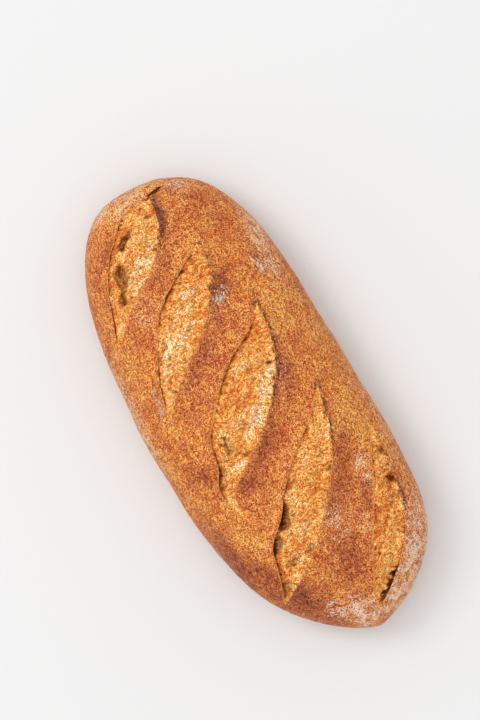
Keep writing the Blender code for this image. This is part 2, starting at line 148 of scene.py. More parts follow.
# The same on the crumb: where the oven toasted it, and where it stayed pale
TOASTS = [Patch(*row) for row in (
    (-128, -24, 40, 10, -50, 0.9), (-95, -34, 24, 8, -40, 0.5), (-8, -8, 42, 15, -50, 0.6),
    (4, -33, 26, 16, -40, 1.1), (26, -34, 16, 8, -40, 0.6), (-52, -28, 20, 10, -40, 0.35),
    (58, 6, 46, 10, -40, 0.35), (88, -22, 26, 14, -40, 0.25), (100, 34, 110, 30, -25, 0.6),
)]
PALES = [Patch(*row) for row in (
    (-117, -6, 38, 11, -45, 0.8), (-96, 8, 22, 10, -40, 0.5), (-66, -14, 34, 14, -50, 0.9),
    (-86, 2, 18, 12, -40, 0.6), (-12, 18, 44, 8, -45, 1.0), (10, -5, 34, 6, -52, 1.0),
    (-24, 4, 16, 8, -60, 0.8), (24, -26, 20, 6, -60, 0.7), (36, -37, 18, 4, -40, 0.7),
    (50, -40, 22, 7, 22, 0.8), (61, -17, 16, 6, -45, 0.9), (78, -34, 18, 8, -40, 0.7),
    (50, 2, 26, 8, -60, 0.5), (107, 36, 14, 8, -30, 0.6),
)]

# Folds torn in the crumb: an arc through three places in plan, in mm. The side on the left, looking along
# it, stands that many mm higher, is painted that dark with shade in its gap, and the gap has that half width,
# in mm.
Fold = namedtuple("Fold", "start middle end rise dark gap")
FOLDS = [Fold(*row) for row in (
    ((-133.6, -8), (-132.2, -13.5), (-126.8, -18.9), -1.5, 0.9, 0.9),
    ((-121.8, -22.8), (-116.9, -26.9), (-107.2, -27.2), -1.2, 0.6, 0.7),
    ((-112.5, -15.6), (-113.2, -13.7), (-111.5, -12), 0.6, 0.7, 0.5),
    ((-106.1, -33.4), (-100.8, -32.9), (-97.6, -35.7), -0.8, 0.7, 0.6),
    ((-100.3, 10.4), (-102.4, 20.2), (-94.3, 24.9), 0.7, 0.3, 0.5),
    ((-85.3, -13.8), (-90, -1.9), (-81.9, 14.6), 0.9, 0.45, 0.5),
    ((-78.2, -11.4), (-75.6, -13.6), (-71.7, -14.1), 0.6, 0.8, 0.5),
    ((-72.5, 9.8), (-65.3, 1.5), (-62.1, -6.4), 0.9, 0.0, 0.5),
    ((-62.5, -25.2), (-58.6, -30), (-52.1, -34.3), -0.6, 0.6, 0.5),
    ((-50.9, -37.8), (-45.5, -33.6), (-45, -25.6), 0.8, 0.4, 0.5),
    ((-70.4, -24.1), (-68, -15.1), (-59, -8.3), 0.6, 0.2, 0.5),
    ((-18, -2.8), (-28.6, 6.5), (-32, 15.9), -0.9, 0.3, 0.5),
    ((1.3, -10.8), (6.3, -5), (0.6, 5), 1.0, 0.6, 0.5),
    ((0.4, -20.8), (12.3, -25.4), (14.5, -18.7), 1.0, 0.9, 0.7),
    ((-12.8, 22.9), (3.7, 9), (18.6, -12.4), -0.9, 0.15, 0.5),
    ((18.6, -12.4), (18.8, -16.9), (18.5, -24.8), -0.8, 0.3, 0.5),
    ((-21.9, 23.4), (-20.9, 26.1), (-22.4, 28.4), 0.6, 0.7, 0.5),
    ((-9.4, -24.9), (-3.3, -19.7), (-2.9, -14.1), 0.6, 0.5, 0.5),
    ((18.6, -34.4), (26.1, -36.7), (32.7, -34.1), 0.9, 0.8, 0.6),
    ((41.4, 11.9), (39.4, 21.9), (52.5, 24.3), -0.7, 0.5, 0.5),
    ((50, 10.4), (55.6, 13.6), (53.5, 21.1), 0.6, 0.4, 0.5),
    ((58.6, -14.3), (66.1, -16.4), (72.8, -21.3), 0.8, 1.0, 1.1),
    ((72.1, -27.4), (73.8, -20.8), (82, -18.3), -0.9, 0.6, 0.6),
    ((75.8, -28.6), (81.5, -32.7), (87.2, -34.4), 0.9, 0.9, 0.9),
    ((90.2, -29.4), (94.2, -26.4), (90.5, -17.6), 0.8, 0.5, 0.5),
    ((94.2, -35.2), (99.2, -33), (97.2, -28.9), 0.7, 0.6, 0.5),
    ((103.9, 30.2), (101.4, 38.2), (109.8, 41.3), -0.7, 0.4, 0.5),
    ((129.6, 30.3), (136.9, 20.9), (147.3, 5.1), 1.5, 1.0, 1.3),
    ((78.4, 52.8), (82, 52.5), (80.2, 55.5), 0.5, 0.9, 1.0),
    ((86.6, 54.1), (95.8, 52.9), (104.6, 49.1), 0.8, 0.7, 0.5),
)]

# The crest of the curled flap at the blunt end, in plan, in mm
FLAP = ((-150.5, -5.0), (-152.5, 4.0), (-153.6, 12.0), (-154.2, 20.0), (-154.0, 28.0))

# Lumps of dry flour on the crust: middle in plan, length, width and height in mm, and turn in degrees
Lump = namedtuple("Lump", "x y length width height turn")
LUMPS = [Lump(*row) for row in (
    (-69.4, 22.2, 2.8, 1.8, 0.9, 30), (-70.6, 20.6, 2.4, 2.2, 0.8, 80), (-69.8, 19.2, 3.4, 2.2, 1.1, 60),
    (-71.2, 17.8, 2.6, 1.7, 0.9, 100), (-70.4, 16.4, 2.8, 1.7, 0.8, 40), (-72.2, 15.4, 1.8, 1.3, 0.7, 0),
    (-68.3, 17.8, 1.6, 1.3, 0.7, 20), (-76.5, 24.2, 2.6, 1.6, 0.8, 60), (-27.4, -49.1, 3.4, 2.0, 1.2, 10),
    (-30.2, -48.6, 2.2, 1.6, 1.0, 30), (-33.6, -48.4, 1.8, 1.5, 1.0, 0),
    (-36.2, -47.6, 1.9, 1.6, 1.0, 30), (-41.9, -45.9, 3.2, 1.8, 1.2, 20),
)]

SAMPLES_PER_SCORE = 65
EDGE_STEP = 0.6 * MM
EDGE_RAGGEDNESS = 0.7 * MM
EDGE_TEETH = 0.42 * MM
EAR_ROUGHER = 2.8  # the teeth of the ear's edge over those of the low edge
EAR_REACH = 11 * MM  # how far from its edge the ear's rise has fallen away
LIP_REACH = 4 * MM
LIP_ROLL = 0.7 * MM  # how far the low lip rolls down into an open crack
CRUMB_SINK = 1.3 * MM  # how far below the crust the crumb's edge lies
TROUGH_DEPTH = 1.5 * MM
TROUGH_PLACE = 7 * MM  # from the ear's edge
BANK_REACH = 4.5 * MM  # how far the crumb climbs towards the ear
UNDERCUT = 2.3 * MM  # how far the crumb runs in under a crust edge
WALL = 1.6 * MM  # how much of the map a score's wall takes
CRUMB_LUMPS = ((1.5 * MM, 10 * MM), (1.0 * MM, 5 * MM), (0.5 * MM, 2.6 * MM))  # heights and sizes
LONG_SCORE = 20 * MM  # a shorter one has no burst bubbles
PIT_DEPTH = 1.3 * MM
RIDGE_HEIGHT = 0.4 * MM
FLAP_RISE = 2.6 * MM
SWELL_SIZE = 42 * MM
BLISTER_SIZE = 4.2 * MM
GRAIN_SIZE = 2.0 * MM
PATCH_RAGGEDNESS = 2.0 * MM  # how far the edges of the oval patches stray
PATCH_RAGS = 7 * MM  # and how wide those strays are
# Flour and painted light on the flank: the steep flank is lightened as if lit
FLANK_FLOUR_AND_LIGHT = 0.65  # on the flank, where it tucks in

# Mesh points: how far apart, and from and to which distance outside a crust edge, below 0 within it
FAR = 99 * MM
BANDS = (
    (0.60 * MM, -FAR, -2.1 * MM),
    (0.45 * MM, -1.8 * MM, -0.32 * MM),
    (0.85 * MM, 0.6 * MM, 3.2 * MM),
)
DOME_START = 3.9 * MM
DOME_STEP = 1.45 * MM
RIM_POINTS = 240
FLANK_RINGS = 12
BASE_STEP = 6 * MM

# How the flecks of crust and crumb differ: grain size, and what the darkest, lightest, warmest and coolest
# flecks multiply the colour by
Flecks = namedtuple("Flecks", "size dark light warm cool")
CRUST_FLECKS = Flecks(0.54 * MM, (0.46, 0.14, 0.04), (1.46, 2.5, 4.5), (1.3, 0.9, 0.3), (0.8, 0.92, 1.8))
CRUMB_FLECKS = Flecks(0.52 * MM, (0.7, 0.2, 0.03), (1.12, 1.85, 3.9), (1.06, 0.94, 0.45), (0.94, 1.0, 1.7))
FLOUR_SPECK = 0.55 * MM
LUMP_GRAIN = 0.8 * MM
DROP = 0.2  # the height that the lumps are let down to the crust from

# The photograph looks straight down, turned so that the loaf's +X points down and to the right
CAMERA_TURN = math.radians(58.89)
CAMERA_OVER = (-30.8 * MM, 10.07 * MM)
CAMERA_HEIGHT = 3.0  # above the belly
FRAME_HEIGHT = 0.459  # of the picture, at the belly
SENSOR = 36  # in mm, along the picture's longer side
LIGHTS = (
    ("ceiling", (-0.3, -0.3, 3.7), 3.0, 27.0),
    ("window", (-1.5, -1.1, 2.7), 1.4, 24.0),
)
ROOM_LIGHT = 0.76
FLOOR_SIZE = 6.0


def metres(name, description, value):
    return FloatProperty(name=name, description=description, default=value, unit="LENGTH")


def shade(name, description, *value):
    return FloatVectorProperty(name=name, description=description, default=value, subtype="COLOR")


class LoafSizes(bpy.types.PropertyGroup):
    """The loaf's size and how deep its relief is"""

    length: metres("Length", "From end to end", 0.320)
    width: metres("Width", "Across the belly", 0.138)
    height: metres("Height", "Top of the dome, without the ears", 0.076)
    belly: metres("Belly", "Level of the widest outline", 0.027)
    base: FloatProperty(
        name="Base", description="Size of the base over the widest outline", default=0.80, subtype="FACTOR"
    )
    swell: metres("Swell", "Slow unevenness of the crust", 1.3 * MM)
    blisters: metres("Blisters", "Height of the crust's small blisters", 0.34 * MM)
    strands: metres("Strands", "Height of the crumb's torn strands", 0.75 * MM)
    pores: IntProperty(name="Pores", description="Burst bubbles in each score", default=14)


class LoafColours(bpy.types.PropertyGroup):
    """The colours of crust, crumb and flour"""

    pale_crust: shade("Pale Crust", "Crust that browned least", 0.76, 0.235, 0.037)
    crust: shade("Crust", "Most of the crust", 0.56, 0.112, 0.019)
    rim: shade("Rim", "Thin edges of crust beside the crumb", 0.66, 0.19, 0.035)
    dark_crust: shade("Dark Crust", "Mahogany crust beyond the ears", 0.39, 0.070, 0.014)
    char: shade("Char", "Burnt crust", 0.13, 0.030, 0.011)
    golden: shade("Golden", "Crust beside the crumb", 0.84, 0.275, 0.044)
    crumb: shade("Crumb", "Most of the torn crumb", 0.89, 0.375, 0.068)
    pale_crumb: shade("Pale Crumb", "Crumb that the ear shaded", 0.96, 0.65, 0.26)
    toast: shade("Toast", "Browned seams of the crumb", 0.71, 0.185, 0.024)
    # Painted shade: the dark of crumb deep in hollows and burst bubbles, and of the small tears
    hollow_shade: shade("Hollow", "Crumb deep in a hollow", 0.38, 0.125, 0.020)
    # Painted shade: the dark inside cracks, fold gaps, pits, burst bubbles and under the flap's curl
    crack: shade("Crack", "The dark inside of a crack", 0.17, 0.036, 0.004)
    flour: shade("Flour", "Flour on the crust", 0.88, 0.71, 0.53)
    dry_flour: shade("Dry Flour", "Lumps of flour that lie on the crust", 0.64, 0.53, 0.45)
    baked_flour: shade("Baked Flour", "Browner parts of the lumps", 0.44, 0.27, 0.18)
    floor: shade("Floor", "The plain floor", 0.80, 0.80, 0.80)


def ripple(points, size, seed):
    """Smooth noise between about -1 and 1 for each row of points, with features of that size."""
    shift = np.array([3.1, 1.7, 0.9]) * seed
    places = np.pad(points, ((0, 0), (0, 3 - points.shape[1]))) / size + shift
    return np.array([noise.noise(place) for place in places.tolist()])


def ramp(values, low, high):
    """0 below low, 1 above high, and a smooth step between."""
    t = np.clip((values - low) / (high - low), 0, 1)
    return t * t * (3 - 2 * t)


def bell(distance, width, power=2):
    """1 at no distance, falling away smoothly over that width."""
    return np.exp(-((distance / width) ** power))


def turned(offsets, turn):
    """(along, across) of offsets in plan, for an axis turned by that angle from +X."""
    x, y = offsets[..., 0], offsets[..., 1]
    return x * np.cos(turn) + y * np.sin(turn), -x * np.sin(turn) + y * np.cos(turn)


def polar(plan):
    """(angle, distance from the middle) of places in plan."""
    return np.arctan2(plan[:, 1], plan[:, 0]), np.hypot(plan[:, 0], plan[:, 1])


def from_polar(angle, radius):
    return np.stack([radius * np.cos(angle), radius * np.sin(angle)], axis=1)


def halve(inside, count, top, rounds):
    """Two values close below and above the point where inside stops being true, from 0 to top."""
    low, high = np.zeros(count), np.full(count, top)
    for _ in range(rounds):
        middle = (low + high) / 2
        keep = inside(middle)
        low, high = np.where(keep, middle, low), np.where(keep, high, middle)
    return low, high


class Form:
    """The smooth loaf, and the flat map that its skin is laid out on, where distances are about true."""

    def __init__(self, sizes):
        self.length, self.width, self.height = sizes.length, sizes.width, sizes.height
        self.belly, self.base = sizes.belly, sizes.base
        self.angle = np.linspace(-math.pi, math.pi, OUTLINE_STEPS, endpoint=False)
        quarters = [(math.copysign(1, math.cos(a)), math.copysign(1, math.sin(a))) for a in self.angle]
        n, k = np.array([OUTLINE_POWERS[quarter] for quarter in quarters]).T

        def within(radius):
            x, y = np.abs(radius * np.cos(self.angle)), np.abs(radius * np.sin(self.angle))
            return (2 * x / self.length) ** n + (2 * y / self.width) ** k < 1

        self.radius = halve(within, OUTLINE_STEPS, self.length, 40)[0]

    def reach(self, angle):
        return np.interp(angle, self.angle, self.radius, period=2 * math.pi)

    def dome_power(self, angle):
        return DOME_POWER_ACROSS + (DOME_POWER_ALONG - DOME_POWER_ACROSS) * np.cos(angle) ** 2

    def section(self, angle, level):
        """(share of the outline's radius, height) at a level: 0 is the top, 1 the belly, 2 the base's rim."""
        up = np.clip(level, 0, 1) * math.pi / 2
        down = np.clip(level - 1, 0, 1) * math.pi / 2
        share = np.sin(up) ** (2 / self.dome_power(angle)) - (1 - self.base) * (1 - np.cos(down))
        dome = (self.height - self.belly) * np.clip(np.cos(up), 0, 1) ** (2 / DOME_SHOULDER)
        return share, self.belly + dome - self.belly * np.sin(down)

    def map_radius(self, angle, level):
        share, height = self.section(angle, np.minimum(level, 1))
        fall = MAP_FALL * (self.height - height)
        return self.reach(angle) * share + fall + FLANK_SPREAD * np.clip(level - 1, 0, 1)

    def lift(self, flat):
        """Points of the map on the smooth loaf."""
        angle, radius = polar(flat)
        low, high = halve(lambda level: self.map_radius(angle, level) < radius, len(flat), 2.0, 28)
        share, height = self.section(angle, (low + high) / 2)
        return np.column_stack([from_polar(angle, self.reach(angle) * share), height])

    def normals(self, flat, step=0.4 * MM):
        ahead, back = self.lift(flat + [step, 0]), self.lift(flat - [step, 0])
        left, right = self.lift(flat + [0, step]), self.lift(flat - [0, step])
        across = np.cross(ahead - back, left - right)
        return across / np.linalg.norm(across, axis=1)[:, None]

    def to_map(self, plan):
        angle, reach = polar(plan)
        share = np.clip(reach / self.reach(angle), 0, 0.998)
        level = np.arcsin(share ** (self.dome_power(angle) / 2)) * 2 / math.pi
        return from_polar(angle, self.map_radius(angle, level))


def smooth_widths(widths, at):
    """The widths at eighths, with 0 at both tips, read along a smooth curve."""
    knots = np.concatenate([[0], np.array(widths) * MM, [0]])
    slope = np.gradient(knots)
    i = np.clip((at * 8).astype(int), 0, 7)
    t = at * 8 - i
    return (
        knots[i] * (1 + 2 * t) * (1 - t) ** 2
        + slope[i] * t * (1 - t) ** 2
        + knots[i + 1] * t * t * (3 - 2 * t)
        - slope[i + 1] * t * t * (1 - t)
    )


def nearest(points, line):
    """(distance, share of the line) of the nearest place on a line."""
    a, b = line[:-1], line[1:]
    run = b - a
    rel = points[:, None] - a[None]
    t = np.clip((rel * run).sum(2) / (run**2).sum(1), 0, 1)
    gap = np.linalg.norm(rel - t[..., None] * run, axis=2)
    i = gap.argmin(1)
    rows = np.arange(len(points))
    return gap[rows, i], (i + t[rows, i]) / len(run)


class Cut:
    """A score's two crust edges as lines on the map, and the relief that it makes."""

    def __init__(self, score, rim, form):
        self.score, self.rim = score, rim
        start, end = np.array(score.start) * MM, np.array(score.end) * MM
        self.length = np.linalg.norm(end - start)
        along = (end - start) / self.length
        self.across = np.array([-along[1], along[0]])
        self.samples = np.linspace(0, 1, SAMPLES_PER_SCORE)
        spine = start + np.outer(self.samples, end - start)
        ragged = EDGE_RAGGEDNESS * np.sin(math.pi * self.samples)
        below = smooth_widths(score.below, self.samples) + ragged * ripple(spine, 6 * MM, score.seed)
        above = smooth_widths(score.above, self.samples) + ragged * ripple(spine + 0.5, 6 * MM, score.seed)
        self.widths = below + above
        self.low_line = form.to_map(spine - np.outer(below, self.across))
        self.ear_line = form.to_map(spine + np.outer(above, self.across))

    def edges(self, at):
        """Places on the low and the ear's edge on the map, at shares of the score's length."""
        lines = self.low_line, self.ear_line
        return [np.column_stack([np.interp(at, self.samples, way) for way in line.T]) for line in lines]

    def loop(self):
        """The crust edge all the way round on the map, with fine teeth."""
        at = np.linspace(0, 1, round(self.length / EDGE_STEP) + 1)
        low, ear = self.edges(at)
        teeth = EDGE_TEETH * np.sin(math.pi * at) ** 0.5 * self.strength(at)
        low = low + np.outer(teeth * ripple(low, 1.9 * MM, 71), self.across)
        ear = ear + np.outer(teeth * EAR_ROUGHER * ripple(ear, 2.6 * MM, 72), self.across)
        return np.concatenate([low, ear[-2:0:-1]])

    def along_rim(self, values, at):
        """One of the rim's rows of values at shares of the score's length."""
        return np.interp(at, np.arange(1, 8) / 8, values)

    def strength(self, at):
        """How fully the score is open, from 0 at its tips to 1 where it is wide."""
        width = np.interp(at, self.samples, self.widths)
        return np.clip(width / min(NARROW, self.widths.max() / 2), 0, 1)

    def ear_height(self, at):
        return self.score.ear * MM * self.strength(at) * np.sin(math.pi * np.clip(at, 0, 1) ** 0.8) ** 0.6

    def low_height(self, far, at):
        """The low side's lip, which rolls down where its crack is open."""
        lip = self.score.lip * MM * self.strength(at) * bell(far, LIP_REACH)
        crack = self.along_rim(self.rim.cracks, at)
        return lip - LIP_ROLL * crack * self.strength(at) * bell(far, 1.2 * MM)

    def crumb_relief(self, far_low, far_ear, at):
        """The crown of the crumb, the cracks beside it and the bank that climbs to the ear."""
        s = self.score
        merged = np.clip(self.along_rim(self.rim.fades, at) / 4, 0, 1) * bell(far_ear, 3 * MM)
        across = (far_low - far_ear) / np.maximum(far_low + far_ear, 1e-6)
        crown = s.crown * MM * (1 - across**2) - CRUMB_SINK * (1 - merged)
        crack = s.low_crack * MM * self.along_rim(self.rim.cracks, at) * bell(far_low, 1.9 * MM)
        crack += s.ear_crack * MM * bell(far_ear, 2.2 * MM) * np.clip((at - 0.45) * 4, 0.1, 1)
        trough = TROUGH_DEPTH * bell(far_ear - TROUGH_PLACE, 3 * MM)
        height = np.clip(self.ear_height(at) - CRUST_THICKNESS * (1 - merged), 0, None)
        return self.strength(at) * (crown - crack - trough + height * bell(far_ear, BANK_REACH))

    def strand_grid(self, flat):
        """(along the torn strands, across them) of places on the map. The strands bend."""
        u, v = turned(flat, math.radians(self.score.strands))
        bend = 6.0 * MM * ripple(flat, 13 * MM, self.score.seed + 1)
        return u + 0.5 * bend, v + bend

    def torn_ripple(self, grid, stretch, size, turn):
        """Noise drawn out along the strands."""
        u, v = grid
        return ripple(np.column_stack([u / stretch, v]), size, self.score.seed + turn)

    def lumps(self, flat):
        """The torn crumb's lumps, a little longer along its strands."""
        grid = self.strand_grid(flat)
        return sum(height * self.torn_ripple(grid, 1.6, size, 0) for height, size in CRUMB_LUMPS)

    def torn_texture(self, flat, height):
        """Fine relief of the torn crumb: strands, the ledges that they tear into, and flakes."""
        grid = self.strand_grid(flat)
        strands = 0.5 - np.abs(self.torn_ripple(grid, 4.5, 2.3 * MM, 2)) * 1.8
        flakes = self.torn_ripple(grid, 2.2, 1.2 * MM, 3)
        shelf = self.torn_ripple(grid, 2.4, 8 * MM, 4) * 3.2
        ledge = np.floor(shelf) + ramp(shelf - np.floor(shelf), 0.3, 0.5) - shelf
        return height * (0.9 * strands + 0.6 * flakes + 1.5 * ledge)

    def pores(self, flat, count):
        """Depth of the burst bubbles, which lie mostly near the edges."""
        rng = np.random.default_rng(self.score.seed)
        at = rng.uniform(0.05, 0.95, count)
        across = rng.beta(0.6, 0.6, count)
        low, ear = self.edges(at)
        middle = low + (ear - low) * (0.08 + 0.84 * across[:, None])
        size = rng.uniform(0.5, 1.25, count) * MM
        stretch = rng.uniform(1, 2.2, count)
        turn = rng.uniform(-0.5, 0.5, count) + math.radians(self.score.strands)
        u, v = turned(flat[:, None] - middle[None], turn)
        return (1.3 * size * bell((u / (size * stretch)) ** 2 + (v / size) ** 2, 1, 1.5)).max(1)


def patches(plan, ovals, sharp=1.1):
    """The strongest of the patches at each plan point."""
    value = np.zeros(len(plan))
    for oval in ovals:
        u, v = turned(plan - np.array([oval.x, oval.y]) * MM, math.radians(oval.turn))
        u, v = u / (oval.length * MM / 2), v / (oval.width * MM / 2)
        value = np.maximum(value, oval.strength * bell(u**2 + v**2, 1, sharp))
    return value


def on_left(plan, line, at):
    """Which plan points lie to the left of a line, whose nearest places are at those shares of it."""
    step = np.clip((at * (len(line) - 1)).astype(int), 0, len(line) - 2)
    run, rel = (line[1:] - line[:-1])[step], plan - line[step]
    return run[:, 0] * rel[:, 1] - run[:, 1] * rel[:, 0] > 0


def fold_relief(plan, fold, rough):
    """(height, painted shade in its gap) that a fold gives to each plan point. Rough is noise from -1 to 1 at
    each point.
    """
    start, middle, end = [np.array(place) * MM for place in (fold.start, fold.middle, fold.end)]
    t = np.linspace(0, 1, 11)[:, None]
    control = 2 * middle - (start + end) / 2
    line = start * (1 - t) ** 2 + control * 2 * t * (1 - t) + end * t**2
    far, at = nearest(plan, line)
    side = np.where(on_left(plan, line, at), 1.0, -1.0)
    fade = np.clip(np.sin(math.pi * at) * 2.5, 0, 1)
    gap = fold.gap * MM * (0.7 + 0.5 * fade + 0.9 * rough).clip(0.25, 2)
    dark = fold.dark * fade * bell(far, gap) * (1 + 1.2 * rough).clip(0, 1)
    rise = 0.6 * fold.rise * MM * side * fade * bell(far, 2.4 * MM, 1)
    return rise - 2.6 * dark * gap, dark


def flap_relief(plan):
    """(height, painted shadow) of the curled flap of crust at the blunt end: it is steep on its inner side,
    where a dark line of shadow is painted.
    """
    line = np.array(FLAP) * MM
    far, at = nearest(plan, line)
    outer = on_left(plan, line, at)
    fade = np.sin(math.pi * at) ** 0.6
    rise = FLAP_RISE * fade * bell(far, np.where(outer, 3.2 * MM, 1.0 * MM))
    return rise, fade * np.where(outer, 0, 0.5) * bell(far - 1.5 * MM, 0.6 * MM)


def hexagonal(low, high, step):
    """Points of a field of triangles between two corners."""
    rows = []
    for j, y in enumerate(np.arange(low[1], high[1] + step, step * math.sqrt(0.75))):
        x = np.arange(low[0], high[0] + step, step) + (j % 2) * step / 2
        rows.append(np.column_stack([x, np.full_like(x, y)]))
    return np.concatenate(rows)


def contains(loop, points):
    """Which points lie within a closed loop."""
    inside = np.zeros(len(points), bool)
    for a, b in zip(loop, np.roll(loop, -1, axis=0)):
        crosses = (a[1] > points[:, 1]) != (b[1] > points[:, 1])
        rise = b[1] - a[1] if b[1] != a[1] else 1e-12
        inside ^= crosses & (points[:, 0] < a[0] + (points[:, 1] - a[1]) * (b[0] - a[0]) / rise)
    return inside


class Skin:
    """The skin's points on the map, its fixed lines and, for each point, the score that it is in, or -1."""

    def __init__(self, form, cuts):
        self.form, self.cuts = form, cuts
        self.flat, self.owner, self.fixed = np.zeros((0, 2)), np.zeros(0, int), []
        self.loops = [cut.loop() for cut in cuts]
        for loop in self.loops:
            self.fix(self.add(loop, -1))
        for number in range(len(cuts)):
            for step, near, far in BANDS:
                self.add_band(number, step, near, far)
        self.add_dome()
        self.rim = self.add_flank()

    def add(self, points, owner, gap=0.0):
        """Adds the points that are further than the gap from all others, and returns their numbers."""
        if gap:
            tree = KDTree(len(self.flat))
            for i, (x, y) in enumerate(self.flat.tolist()):
                tree.insert((x, y, 0), i)
            tree.balance()
            points = points[[tree.find((x, y, 0))[2] > gap for x, y in points.tolist()]]
        first = len(self.flat)
        self.flat = np.concatenate([self.flat, points])
        self.owner = np.concatenate([self.owner, np.full(len(points), owner)])
        return list(range(first, len(self.flat)))

    def fix(self, numbers):
        self.fixed += list(zip(numbers, numbers[1:] + numbers[:1]))

    def near_loop(self, points, number, margin):
        """Which points lie within a score's bounds, widened by a margin."""
        loop = self.loops[number]
        return ((points > loop.min(0) - margin) & (points < loop.max(0) + margin)).all(1)

    def outside(self, points, number):
        """Distance outside a score's crust edge, below 0 within it."""
        loop = self.loops[number]
        far = np.full(len(points), FAR)
        near = self.near_loop(points, number, 5 * MM)
        if near.any():
            distance = nearest(points[near], np.concatenate([loop[::2], loop[:1]]))[0]
            far[near] = np.where(contains(loop, points[near]), -distance, distance)
        return far

    def add_band(self, number, step, near, far):
        loop = self.loops[number]
        points = hexagonal(loop.min(0) - 4 * MM, loop.max(0) + 4 * MM, step)
        signed = self.outside(points, number)
        points = points[(signed > near) & (signed < far)]
        for other in range(len(self.cuts)):
            if other != number:
                points = points[self.outside(points, other) > 0.5 * step]
        self.add(points, number if far < 0 else -1, 0.5 * step)

    def add_dome(self):
        half = np.array([self.form.length * 0.65, self.form.width * 0.8])
        points = hexagonal(-half, half, DOME_STEP)
        angle, radius = polar(points)
        points = points[radius < self.form.map_radius(angle, np.ones(len(angle))) - DOME_STEP]
        for number in range(len(self.cuts)):
            points = points[self.outside(points, number) > DOME_START]
        self.add(points, -1)

    def add_flank(self):
        """Adds rings from the belly down and returns the last one, the rim of the base."""
        turn = np.linspace(0, 2 * math.pi, RIM_POINTS, endpoint=False)
        for row in range(FLANK_RINGS + 1):
            shifted = turn + (row % 2) * math.pi / RIM_POINTS
            angle = np.arctan2(np.sin(shifted) * self.form.width, np.cos(shifted) * self.form.length)
            level = np.full(RIM_POINTS, 1 + row / FLANK_RINGS)
            ring = self.add(from_polar(angle, self.form.map_radius(angle, level)), -1)
        self.fix(ring)
        return ring


